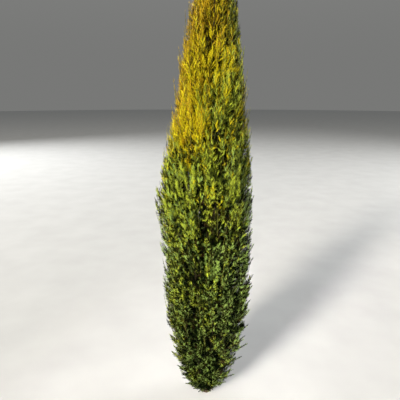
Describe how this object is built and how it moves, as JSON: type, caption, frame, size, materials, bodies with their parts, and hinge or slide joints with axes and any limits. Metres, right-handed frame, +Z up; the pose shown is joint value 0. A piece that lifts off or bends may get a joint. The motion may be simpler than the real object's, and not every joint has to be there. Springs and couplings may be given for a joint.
{
  "type": "columnar golden cypress tree",
  "caption": "Columnar cypress tree with a straight leader, steep boughs and upright feathery foliage, green at the foot and golden at the top, rooted in level ground.",
  "frame": {"origin": "middle of the trunk's flat cut at ground level", "axes": "+Z up along the trunk, -Y towards the picture's viewer, +X to that viewer's right"},
  "size_m": [0.4693, 0.4507, 2.3],
  "materials": {
    "bark": "rough fibrous bark",
    "green_foliage": "matt scale leaves, mid green",
    "lime_foliage": "matt scale leaves, yellow-green",
    "gold_foliage": "matt scale leaves, golden"
  },
  "bodies": {
    "root": {"trunk": "bark", "bough_tier1_1": "bark", "bough_tier1_2": "bark", "bough_tier1_3": "bark", "bough_tier1_4": "bark", "bough_tier1_5": "bark", "bough_tier2_1": "bark", "bough_tier2_2": "bark", "bough_tier2_3": "bark", "bough_tier2_4": "bark", "bough_tier2_5": "bark", "bough_tier3_1": "bark", "bough_tier3_2": "bark", "bough_tier3_3": "bark", "bough_tier3_4": "bark", "bough_tier3_5": "bark", "bough_tier4_1": "bark", "bough_tier4_2": "bark", "bough_tier4_3": "bark", "bough_tier4_4": "bark", "bough_tier4_5": "bark", "bough_tier5_1": "bark", "bough_tier5_2": "bark", "bough_tier5_3": "bark", "bough_tier5_4": "bark", "bough_tier6_1": "bark", "bough_tier6_2": "bark", "bough_tier6_3": "bark", "bough_tier6_4": "bark", "foliage_tier1_1": "green_foliage", "foliage_tier1_2": "green_foliage", "foliage_tier1_3": "green_foliage", "foliage_tier1_4": "green_foliage", "foliage_tier1_5": "green_foliage", "foliage_tier2_1": "green_foliage", "foliage_tier2_2": "green_foliage", "foliage_tier2_3": "green_foliage", "foliage_tier2_4": "green_foliage", "foliage_tier2_5": "green_foliage", "foliage_tier3_1": "lime_foliage", "foliage_tier3_2": "lime_foliage", "foliage_tier3_3": "lime_foliage", "foliage_tier3_4": "lime_foliage", "foliage_tier3_5": "lime_foliage", "foliage_tier4_1": "lime_foliage", "foliage_tier4_2": "lime_foliage", "foliage_tier4_3": "lime_foliage", "foliage_tier4_4": "lime_foliage", "foliage_tier4_5": "lime_foliage", "foliage_tier5_1": "gold_foliage", "foliage_tier5_2": "gold_foliage", "foliage_tier5_3": "gold_foliage", "foliage_tier5_4": "gold_foliage", "foliage_tier6_1": "gold_foliage", "foliage_tier6_2": "gold_foliage", "foliage_tier6_3": "gold_foliage", "foliage_tier6_4": "gold_foliage"}
  },
  "joints": []
}
